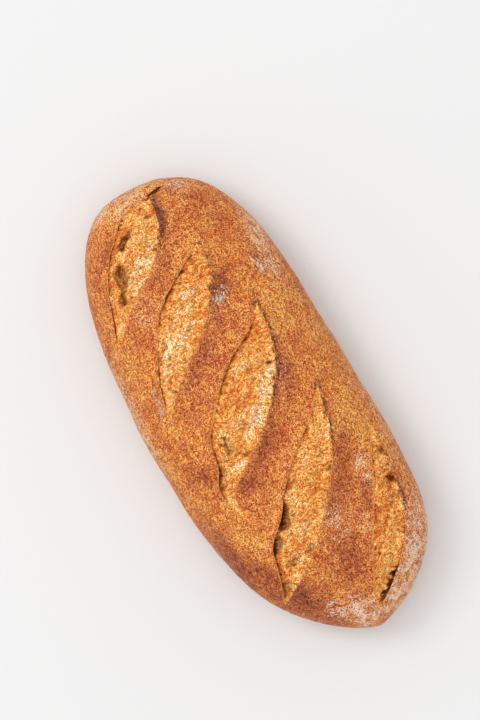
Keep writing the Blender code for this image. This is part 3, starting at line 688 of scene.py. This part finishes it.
class Relief:
    """The height that each point of the skin gets, and the masks that the materials read."""

    def __init__(self, skin, sizes):
        self.skin, self.sizes, self.flat = skin, sizes, skin.flat
        self.smooth = skin.form.lift(skin.flat)
        stray = [ripple(skin.flat, PATCH_RAGS, seed) for seed in (31, 32)]
        self.plan = self.smooth[:, :2] + PATCH_RAGGEDNESS * np.column_stack(stray)
        self.relief, self.shift = np.zeros(len(skin.flat)), np.zeros((len(skin.flat), 3))
        names = ("torn", "burn", "ear", "crack", "hollow_shade", "peak", "pale", "lip", "toasted")
        self.masks = {name: np.zeros(len(skin.flat)) for name in names}
        self.masks["strand"] = np.zeros((len(skin.flat), 3))
        for number, cut in enumerate(skin.cuts):
            near = np.flatnonzero(skin.near_loop(skin.flat, number, 26 * MM))
            low, ear = nearest(self.flat[near], cut.low_line), nearest(self.flat[near], cut.ear_line)
            inside = skin.owner[near] == number
            self.shape_edges(cut, near, inside, low, ear)
            self.shape_crumb(cut, near[inside], low[0][inside], ear[0][inside], ear[1][inside])

    def lay(self, name, points, values):
        """Raises a mask to the values where it is lower."""
        self.masks[name][points] = np.maximum(self.masks[name][points], values)

    def shape_edges(self, cut, near, inside, low, ear):
        """The crust beside a score, and how crust and crumb meet."""
        (far_low, at_low), (far_ear, at_ear) = low, ear
        distance = np.minimum(far_low, far_ear)
        ear_side = far_ear < far_low
        fade = np.where(ear_side, cut.along_rim(cut.rim.fades, at_ear), cut.rim.low_fade) * MM
        self.lay("torn", near, ramp(np.where(inside, distance, -distance), -0.6 * fade, 0.5 * fade))
        close = near[(distance < 12 * MM) | inside]
        self.masks["strand"][close, :2] = np.column_stack(cut.strand_grid(self.flat[close])) / [1.8, 1]
        burns = cut.along_rim(cut.rim.burns, at_ear)
        self.lay("burn", near, burns * bell(far_ear, 4.0 * MM) * np.where(inside, 0.5, 1.0))
        low_lip = cut.strength(at_low) * bell(far_low, 1.6 * MM, 1) * 0.6
        ear_lip = cut.strength(at_ear) * (1 - 0.9 * burns) * bell(far_ear - 1.2 * MM, 1.6 * MM)
        self.lay("lip", near, np.where(ear_side, ear_lip * np.clip(2.4 - 3 * at_ear, 0, 1), low_lip))
        ear_rise = cut.ear_height(at_ear) * bell(far_ear, EAR_REACH, 1.5)
        rise = np.where(far_ear <= far_low, ear_rise, cut.low_height(far_low, at_low))
        beside = near[~inside]
        self.relief[beside] += rise[~inside] * (self.skin.owner[beside] < 0)
        glow = cut.strength(at_ear) * bell(far_ear, 9 * MM, 1) * ear_side
        self.lay("ear", beside, glow[~inside])

    def shape_crumb(self, cut, mine, far_low, far_ear, at):
        """The torn bed of a score, which runs in under its crust edges."""
        flat, sizes, masks = self.flat[mine], self.sizes, self.masks
        distance = np.minimum(far_low, far_ear)
        strength, open_crack = cut.strength(at), cut.along_rim(cut.rim.cracks, at)
        dip = patches(self.plan[mine], HOLLOWS, 2.5) * MM
        bubbles = cut.pores(flat, sizes.pores) if cut.length > LONG_SCORE else 0.0
        lumps = cut.lumps(flat)
        texture = (cut.torn_texture(flat, sizes.strands) + lumps) * strength
        rough = ripple(flat, 2.4 * MM, 41)
        bent = self.smooth[mine, :2] + 0.9 * MM * np.column_stack([rough, ripple(flat, 3.5 * MM, 42)])
        folds, fold_gap_shade = np.zeros((2, len(mine)))
        for fold in FOLDS:
            rise, dark = fold_relief(bent, fold, rough)
            folds += rise
            fold_gap_shade = np.maximum(fold_gap_shade, dark)
        pits = ramp(ripple(flat, 2.1 * MM, 43), 0.15, 0.42) * bell(distance - 1.4 * MM, 1.1 * MM) * strength
        pits *= np.where(far_ear < far_low, np.clip(1.5 - 2 * at, 0, 1), 0.8)
        band = bell(far_low - 2.8 * MM, 1.5 * MM) * strength * open_crack
        ridges = RIDGE_HEIGHT * band * ripple(np.column_stack([at * cut.length / 7, far_low]), 1.1 * MM, 44)
        crumb = cut.crumb_relief(far_low, far_ear, at) - dip + texture - bubbles + folds
        crumb += ridges - PIT_DEPTH * pits

        ear_side = far_ear <= far_low
        edge = np.where(ear_side, cut.ear_height(at), cut.low_height(0.0, at))
        wall = ramp(distance, 0, WALL)
        self.relief[mine] = edge * (1 - wall) + crumb * wall
        side = np.where(ear_side, 1.0, -0.6 * open_crack)
        under = UNDERCUT * strength**2 * side * ramp(distance, 0, WALL * 0.9)
        self.shift[mine, :2] = np.outer(under * (1 - ramp(distance, WALL, 4 * WALL)), cut.across)

        # Painted shade: the crack mask darkens open cracks, fold gaps, pits and burst bubbles
        gap = open_crack * bell(far_low, MM * (2.4 + 1.6 * rough).clip(0.8, 4.5))
        gap += cut.score.ear_crack / 5 * bell(far_ear, 1.6 * MM) * np.clip((at - 0.6) * 6, 0, 1)
        masks["crack"][mine] = np.clip(gap * strength + fold_gap_shade + 0.8 * pits + bubbles / (3 * MM), 0, 1)
        # Painted shade in hollows and burst bubbles
        masks["hollow_shade"][mine] = np.clip(dip / (3 * MM) + bubbles / MM, 0, 1)
        masks["pale"][mine] = patches(self.plan[mine], PALES)
        # Painted highlight on the crumb's tops and painted shade in its dips
        masks["peak"][mine] = (texture + 0.4 * lumps) / MM
        masks["toasted"][mine] = 1.3 * band

    def finish(self):
        """(points, masks) of the whole skin, with the crust's swells and blisters."""
        form, smooth, plan = self.skin.form, self.smooth, self.plan
        swell = self.sizes.swell * ripple(smooth, SWELL_SIZE, 5) * np.clip(smooth[:, 2] / form.belly, 0, 1)
        crust = self.skin.owner < 0
        bumps, grain = ripple(smooth[crust], BLISTER_SIZE, 81), ripple(smooth[crust], GRAIN_SIZE, 82)
        soft = np.clip(smooth[crust, 2] / (12 * MM), 0, 1)
        swell[crust] += self.sizes.blisters * (np.clip(bumps, 0, 1) * 1.2 + 0.35 * grain) * soft
        rise, dark = flap_relief(smooth[crust, :2])
        swell[crust] += rise
        # Painted shadow along the flap's inner side, in the crack mask
        self.lay("crack", crust, dark)
        out = form.normals(self.flat)
        points = smooth + out * swell[:, None] + self.shift
        points[:, 2] += self.relief / np.clip(out[:, 2], STEEP, 1)
        points[self.skin.rim, 2] = 0.0
        self.lay("toasted", slice(None), patches(plan, TOASTS))
        # Flour dusting and painted light on the steep flanks
        flank_flour_and_light = FLANK_FLOUR_AND_LIGHT * ramp(-out[:, 2], -0.28, 0.12)
        self.masks["flour"] = np.maximum(patches(plan, FLOURS), flank_flour_and_light)
        self.masks["char"], self.masks["gold"] = patches(plan, CHARS), patches(plan, GOLD_AND_LIGHT_PATCHES)
        return points, self.masks


def triangles(plan, fixed, numbers):
    """The triangles between places in plan, as those numbers, with the fixed lines kept."""
    laid = delaunay_2d_cdt([Vector(place) for place in plan.tolist()], fixed, [], 1, 1e-8)
    return [[numbers[laid[3][v][0]] for v in face] for face in laid[2]]


def loaf_mesh(skin, sizes):
    """The closed mesh: the skin's triangles and the flat base inside its rim."""
    points, masks = Relief(skin, sizes).finish()
    faces = triangles(skin.flat, skin.fixed, range(len(points)))
    half = np.array([skin.form.length, skin.form.width]) / 2
    field = hexagonal(-half, half, BASE_STEP)
    angle, radius = polar(field)
    field = field[radius < skin.form.reach(angle) * skin.form.base - 0.5 * BASE_STEP]
    ring = [(i, (i + 1) % RIM_POINTS) for i in range(RIM_POINTS)]
    numbers = skin.rim + list(range(len(points), len(points) + len(field)))
    base = triangles(np.concatenate([points[skin.rim, :2], field]), ring, numbers)
    faces += [face[::-1] for face in base]
    points = np.concatenate([points, np.pad(field, ((0, 0), (0, 1)))])
    points[:, :2] -= (points[:, :2].min(0) + points[:, :2].max(0)) / 2
    mesh = bpy.data.meshes.new("loaf")
    mesh.from_pydata(points.tolist(), [], faces)
    for name, values in masks.items():
        kind, slot = ("FLOAT", "value") if values.ndim == 1 else ("FLOAT_VECTOR", "vector")
        layer = mesh.attributes.new(name, kind, "POINT")
        padded = np.concatenate([values, np.zeros((len(field), *values.shape[1:]))])
        layer.data.foreach_set(slot, padded.astype(np.float32).ravel())
    return mesh


class Graph:
    """Adds shader nodes to a tree, a row at a time, and links them."""

    def __init__(self, tree):
        self.tree = tree
        self.column = 0

    def add(self, kind, inputs=None, **settings):
        made = self.tree.nodes.new(kind)
        made.location = (self.column * 180 - 2400, -(self.column % 5) * 180)
        self.column += 1
        for key, value in settings.items():
            setattr(made, key, value)
        for key, value in (inputs or {}).items():
            self.put(made.inputs[key], value)
        return made

    def put(self, socket, value):
        if isinstance(value, bpy.types.NodeSocket):
            self.tree.links.new(value, socket)
        elif hasattr(socket.default_value, "__len__") and len(socket.default_value) == 4 and len(value) == 3:
            socket.default_value = (*value, 1.0)
        else:
            socket.default_value = value

    def maths(self, operation, a, b=0.0, clamp=False):
        return self.add("ShaderNodeMath", {0: a, 1: b}, operation=operation, use_clamp=clamp).outputs[0]

    def plus(self, a, b, clamp=False):
        return self.maths("ADD", a, b, clamp)

    def minus(self, a, b):
        return self.maths("SUBTRACT", a, b)

    def times(self, a, b):
        return self.maths("MULTIPLY", a, b)

    def mask(self, name):
        return self.add("ShaderNodeAttribute", attribute_name=name).outputs["Fac"]

    def noise(self, vector, size, detail=2.0, roughness=0.5):
        settings = {"Vector": vector, "Scale": 1 / size, "Detail": detail, "Roughness": roughness}
        return self.add("ShaderNodeTexNoise", settings).outputs["Fac"]

    def grains(self, vector, scale):
        """Three random values for each grain: red, green and blue."""
        cells = self.add("ShaderNodeTexVoronoi", {"Vector": vector, "Scale": scale})
        return self.add("ShaderNodeSeparateColor", {"Color": cells.outputs["Color"]}).outputs

    def step(self, value, low, high, bottom=0.0, top=1.0):
        inputs = {"Value": value, "From Min": low, "From Max": high, "To Min": bottom, "To Max": top}
        return self.add("ShaderNodeMapRange", inputs, interpolation_type="SMOOTHSTEP").outputs["Result"]

    def mix(self, factor, a, b, blend="MIX"):
        clamps = {"clamp_factor": True, "clamp_result": True}
        made = self.add("ShaderNodeMix", data_type="RGBA", blend_type=blend, **clamps)
        for number, value in ((0, factor), (6, a), (7, b)):
            self.put(made.inputs[number], value)
        return made.outputs[2]


def new_group(name, inputs, outputs):
    """A node group with those named sockets: its graph, what it is given and what it puts out."""
    tree = bpy.data.node_groups.new(name, "ShaderNodeTree")
    for way, sockets in (("INPUT", inputs), ("OUTPUT", outputs)):
        for label, kind in sockets.items():
            tree.interface.new_socket(name=label, in_out=way, socket_type="NodeSocket" + kind)
    return Graph(tree), tree.nodes.new("NodeGroupInput").outputs, tree.nodes.new("NodeGroupOutput").inputs


def bran_speckle():
    """Flecks a grain wide, as of bran in a baked dough: dark to light, and warm to cool apart from that."""
    shades = {label: "Color" for label in ("Colour", "Dark", "Light", "Warm", "Cool")}
    inputs = {"Vector": "Vector", "Size": "Float", "Drift": "Float", **shades}
    g, given, result = new_group("bran speckle", inputs, {"Colour": "Color", "Height": "Float"})
    grain = g.grains(given["Vector"], g.maths("DIVIDE", 1.0, given["Size"]))["Red"]
    value = g.plus(grain, g.minus(given["Drift"], 0.5))
    darker = g.mix(1.0, given["Colour"], given["Dark"], "MULTIPLY")
    brighter = g.mix(1.0, given["Colour"], given["Light"], "MULTIPLY")
    colour = g.mix(g.step(value, 0.50, 0.10), given["Colour"], darker)
    colour = g.mix(g.step(value, 0.50, 0.90), colour, brighter)
    blot = g.grains(given["Vector"], g.maths("DIVIDE", 0.9, given["Size"]))["Green"]
    tint = g.mix(g.step(blot, 0.1, 0.9), given["Cool"], given["Warm"])
    g.put(result["Colour"], g.mix(1.0, colour, tint, "MULTIPLY"))
    g.put(result["Height"], value)
    return g.tree


def flour_dust():
    """Flour lying on a surface in patches of fine specks."""
    inputs = {"Vector": "Vector", "Colour": "Color", "Flour": "Color", "Amount": "Float"}
    g, given, result = new_group("flour dust", inputs, {"Colour": "Color"})
    patchy = g.noise(given["Vector"], 6 * MM, 3.0, 0.6)
    grain = g.grains(given["Vector"], 1 / FLOUR_SPECK)["Blue"]
    amount = g.times(given["Amount"], g.step(patchy, 0.3, 0.65, 0.0, 0.66))
    cover = g.step(g.plus(grain, amount), 0.94, 1.12, 0.0, 0.92)
    g.put(result["Colour"], g.mix(cover, given["Colour"], given["Flour"]))
    return g.tree


def crust_colour(g, place, colours):
    """The crust: browned in patches, and mahogany to burnt beyond the ears and along their rims."""
    cloud = g.noise(place, 9 * MM, 5.0, 0.72)
    crust = g.mix(g.step(cloud, 0.34, 0.66), colours.pale_crust, colours.crust)
    patchy = g.step(g.noise(place, 5 * MM, 4.0, 0.7), 0.25, 0.7, -0.35, 0.35)
    # Golden crust and painted light, from the gold patches
    gold = g.times(g.mask("gold"), g.plus(patchy, 0.6))
    crust = g.mix(g.step(gold, 0.0, 0.8, 0.0, 0.85), crust, colours.golden)
    browned = g.plus(g.mask("char"), g.times(g.mask("ear"), 0.15))
    patchy = g.plus(patchy, g.step(g.noise(place, 2.2 * MM, 3.0, 0.7), 0.25, 0.75, -0.35, 0.35))
    browned = g.plus(browned, g.times(patchy, g.plus(browned, 0.15, clamp=True)))
    crust = g.mix(g.step(browned, 0.05, 0.80), crust, colours.dark_crust)
    crust = g.mix(g.step(browned, 0.70, 1.20, 0.0, 0.85), crust, colours.char)
    crust = g.mix(g.times(g.mask("lip"), 0.7), crust, colours.rim)
    burnt = g.times(g.mask("burn"), g.step(g.noise(place, 2.0 * MM, 3.0, 0.75), 0.36, 0.58))
    return g.mix(g.step(burnt, 0.12, 0.55, 0.0, 0.95), crust, colours.char)


def crumb_colour(g, place, strands, colours):
    """The torn crumb: a painted highlight on its tops and painted shade in its dips, paler by the ear,
    toasted in seams and patches, painted shade in hollows.
    """
    tone = g.step(g.noise(place, 4.0 * MM, 4.0, 0.7), 0.25, 0.75, -0.5, 0.5)
    light = g.plus(g.times(g.mask("peak"), 0.26), g.times(tone, 0.35))
    light = g.plus(light, g.times(g.mask("pale"), 0.45))
    light = g.minus(light, g.times(g.mask("toasted"), 0.40))
    seams = g.step(g.maths("ABSOLUTE", g.minus(strands, 0.5)), 0.05, 0.0, 0.0, 0.30)
    light = g.minus(light, seams)
    crumb = g.mix(g.step(light, -0.75, -0.05), colours.toast, colours.crumb)
    crumb = g.mix(g.step(light, 0.0, 0.75), crumb, colours.pale_crumb)
    return g.mix(g.times(g.mask("hollow_shade"), 0.75), crumb, colours.hollow_shade)


def flecked(g, speckle, flecks, place, colour, drift):
    """The speckle group's outputs on a colour."""
    shades = {label.capitalize(): getattr(flecks, label) for label in ("dark", "light", "warm", "cool")}
    given = {"Vector": place, "Size": flecks.size, "Drift": drift, "Colour": colour, **shades}
    return g.add("ShaderNodeGroup", given, node_tree=speckle).outputs


def painted_tear_shade(g, place, along):
    """Painted shade of short tears between the strands, where 1 is open."""
    settings = {"Vector": along, "Scale": 1 / (4 * MM), "Detail": 2.0}
    bend = {0: g.add("ShaderNodeTexNoise", settings).outputs["Color"], 1: (3 * MM, 3 * MM, 0.0), 2: along}
    bent = g.add("ShaderNodeVectorMath", bend, operation="MULTIPLY_ADD").outputs["Vector"]
    cells = {"Vector": bent, "Scale": 1 / (5 * MM)}
    edges = g.add("ShaderNodeTexVoronoi", cells, feature="DISTANCE_TO_EDGE").outputs["Distance"]
    return g.times(g.step(edges, 0.09, 0.03), g.step(g.noise(place, 3 * MM, 2.0, 0.6), 0.52, 0.62))


def new_material(name, roughness, specular=0.5):
    """(material, its surface's inputs)"""
    material = bpy.data.materials.new(name)
    material.use_nodes = True
    inputs = material.node_tree.nodes["Principled BSDF"].inputs
    inputs["Roughness"].default_value = roughness
    inputs["Specular IOR Level"].default_value = specular
    return material, inputs


def loaf_material(colours, speckle, dust):
    """Crust and crumb in one skin, because they meet in a ragged line."""
    material, surface = new_material("baked crust and torn crumb", 0.6, 0.3)
    g = Graph(material.node_tree)
    place = g.add("ShaderNodeTexCoord").outputs["Object"]
    along = g.add("ShaderNodeAttribute", attribute_name="strand").outputs["Vector"]

    torn = g.mask("torn")
    ragged = g.step(g.noise(place, 2.2 * MM, 4.0, 0.7), 0.25, 0.75, -0.45, 0.45)
    between = g.times(g.step(torn, 0.0, 0.3), g.step(torn, 1.0, 0.7))
    torn = g.plus(torn, g.times(ragged, between), clamp=True)

    drift = g.step(g.noise(place, 2.4 * MM, 3.0, 0.7), 0.2, 0.8, 0.25, 0.75)
    crust = flecked(g, speckle, CRUST_FLECKS, place, crust_colour(g, place, colours), drift)
    given = {"Vector": place, "Colour": crust["Colour"], "Flour": colours.flour, "Amount": g.mask("flour")}
    dusted = g.add("ShaderNodeGroup", given, node_tree=dust).outputs["Colour"]

    strands = g.noise(along, 1.6 * MM, 4.0, 0.75)
    drift = g.step(strands, 0.35, 0.65, 0.18, 0.82)
    crumb = flecked(g, speckle, CRUMB_FLECKS, place, crumb_colour(g, place, strands, colours), drift)
    # Painted shade in the small tears
    torn_crumb = g.mix(g.times(painted_tear_shade(g, place, along), 0.75), crumb["Colour"], colours.hollow_shade)

    skin = g.mix(g.step(torn, 0.02, 0.45), dusted, g.mix(0.5, dusted, colours.golden))
    skin = g.mix(g.step(torn, 0.25, 0.85), skin, torn_crumb)
    # Painted shade in cracks, gaps and pits, from the crack mask
    g.put(surface["Base Color"], g.mix(g.step(g.mask("crack"), 0.15, 0.9, 0.0, 0.75), skin, colours.crack))
    g.put(surface["Roughness"], g.step(torn, 0.0, 1.0, 0.6, 0.85))
    height = g.mix(g.step(torn, 0.3, 0.7), crust["Height"], g.times(crumb["Height"], 2.0))
    bump = g.add("ShaderNodeBump", {"Height": height, "Strength": 0.5, "Distance": 0.3 * MM})
    g.put(surface["Normal"], bump.outputs["Normal"])
    return material


def flour_material(colours):
    material, surface = new_material("dry flour", 0.95, 0.2)
    g = Graph(material.node_tree)
    place = g.add("ShaderNodeTexCoord").outputs["Object"]
    baked = g.step(g.noise(place, 1.2 * MM, 3.0, 0.7), 0.35, 0.65)
    g.put(surface["Base Color"], g.mix(baked, colours.baked_flour, colours.dry_flour))
    return material


def floor_material(colours):
    material, surface = new_material("pale floor", 0.6)
    surface["Base Color"].default_value = (*colours.floor, 1.0)
    return material


class LOAF_OT_loaf(bpy.types.Operator):
    """Make the loaf: one closed skin of crust and torn crumb"""

    bl_idname = "loaf.loaf"
    bl_label = "Loaf"

    def execute(self, context):
        sizes, colours = context.scene.loaf_sizes, context.scene.loaf_colours
        form = Form(sizes)
        skin = Skin(form, [Cut(score, rim, form) for score, rim in zip(SCORES, RIMS)])
        loaf = bpy.data.objects.new("loaf", loaf_mesh(skin, sizes))
        context.collection.objects.link(loaf)
        loaf.data.shade_smooth()
        loaf.data.materials.append(loaf_material(colours, bran_speckle(), flour_dust()))
        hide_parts(NODE)
        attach(loaf, "root")
        return {"FINISHED"}


class LOAF_OT_flour(bpy.types.Operator):
    """Lay the small lumps of dry flour on the crust"""

    bl_idname = "loaf.flour"
    bl_label = "Flour Lumps"

    def execute(self, context):
        loaf = context.scene.objects["loaf"]
        lumps = []
        for lump in LUMPS:
            above = Vector((lump.x * MM, lump.y * MM, DROP))
            hit, place, normal, _ = loaf.ray_cast(above, Vector((0, 0, -1)))
            if not hit:
                raise RuntimeError("a flour lump isn't over the loaf")
            bpy.ops.object.select_all(action="DESELECT")
            bpy.ops.mesh.primitive_ico_sphere_add(subdivisions=3, radius=0.5 * MM)
            made = context.object
            made.scale = (lump.length, lump.width, lump.height)
            turn = Matrix.Rotation(math.radians(lump.turn), 3, "Z")
            made.rotation_euler = (normal.to_track_quat("Z", "X").to_matrix() @ turn).to_euler()
            made.location = place + 0.2 * lump.height * MM * normal
            lumps.append(made)
        for made in lumps:
            made.select_set(True)
        bpy.ops.object.join()
        bpy.ops.object.transform_apply(location=True, rotation=True, scale=True)
        piece = context.object
        piece.name = "flour_lumps"
        crumbly = bpy.data.textures.new("crumbly", "CLOUDS")
        crumbly.noise_scale = LUMP_GRAIN
        bpy.ops.object.modifier_add(type="DISPLACE")
        displace = piece.modifiers[-1]
        displace.texture = crumbly
        displace.texture_coords = "LOCAL"
        displace.strength = LUMP_GRAIN
        bpy.ops.object.modifier_apply(modifier=displace.name)
        bpy.ops.object.shade_smooth()
        piece.data.materials.append(flour_material(context.scene.loaf_colours))
        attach(piece, "root")
        return {"FINISHED"}


class LOAF_OT_stage(bpy.types.Operator):
    """Lay the pale floor, set the soft light and point the camera straight down"""

    bl_idname = "loaf.stage"
    bl_label = "Floor, Light and Camera"

    def execute(self, context):
        bpy.ops.object.select_all(action="DESELECT")
        bpy.ops.mesh.primitive_plane_add(size=FLOOR_SIZE, location=(0, 0, 0))
        floor = context.object
        floor.name = "floor"
        floor.data.materials.append(floor_material(context.scene.loaf_colours))

        over = (*CAMERA_OVER, context.scene.loaf_sizes.belly + CAMERA_HEIGHT)
        bpy.ops.object.camera_add(location=over, rotation=(0, 0, CAMERA_TURN))
        camera = context.object
        camera.data.lens = SENSOR * CAMERA_HEIGHT / FRAME_HEIGHT
        camera.data.clip_end = 20
        context.scene.camera = camera

        for name, place, size, power in LIGHTS:
            bpy.ops.object.light_add(type="AREA", location=place)
            lamp = context.object
            lamp.name = name
            lamp.data.shape = "DISK"
            lamp.data.size = size
            lamp.data.energy = power
            lamp.rotation_euler = (-Vector(place)).to_track_quat("-Z", "Y").to_euler()

        world = bpy.data.worlds.new("soft room light")
        context.scene.world = world
        world.use_nodes = True
        background = world.node_tree.nodes["Background"].inputs
        background["Color"].default_value = (1.0, 1.0, 1.0, 1.0)
        background["Strength"].default_value = ROOM_LIGHT
        context.scene.view_settings.view_transform = "Standard"
        return {"FINISHED"}


class LOAF_PT_panel(bpy.types.Panel):
    """Everything that the loaf is made from"""

    bl_label = "Sourdough Loaf"
    bl_idname = "LOAF_PT_panel"
    bl_space_type = "VIEW_3D"
    bl_region_type = "UI"
    bl_category = "Loaf"

    def draw(self, context):
        for owner in (context.scene.loaf_sizes, context.scene.loaf_colours):
            box = self.layout.box()
            for name in owner.__annotations__:
                box.prop(owner, name)
        for operator in (LOAF_OT_loaf, LOAF_OT_flour, LOAF_OT_stage):
            self.layout.operator(operator.bl_idname)


CLASSES = (LoafSizes, LoafColours, LOAF_OT_loaf, LOAF_OT_flour, LOAF_OT_stage, LOAF_PT_panel)


def register():
    for cls in CLASSES:
        bpy.utils.register_class(cls)
    bpy.types.Scene.loaf_sizes = PointerProperty(type=LoafSizes)
    bpy.types.Scene.loaf_colours = PointerProperty(type=LoafColours)


def unregister():
    del bpy.types.Scene.loaf_sizes
    del bpy.types.Scene.loaf_colours
    for cls in reversed(CLASSES):
        bpy.utils.unregister_class(cls)


def main():
    register()
    bpy.ops.loaf.loaf()
    bpy.ops.loaf.flour()
    bpy.ops.loaf.stage()


if __name__ == "__main__":
    main()
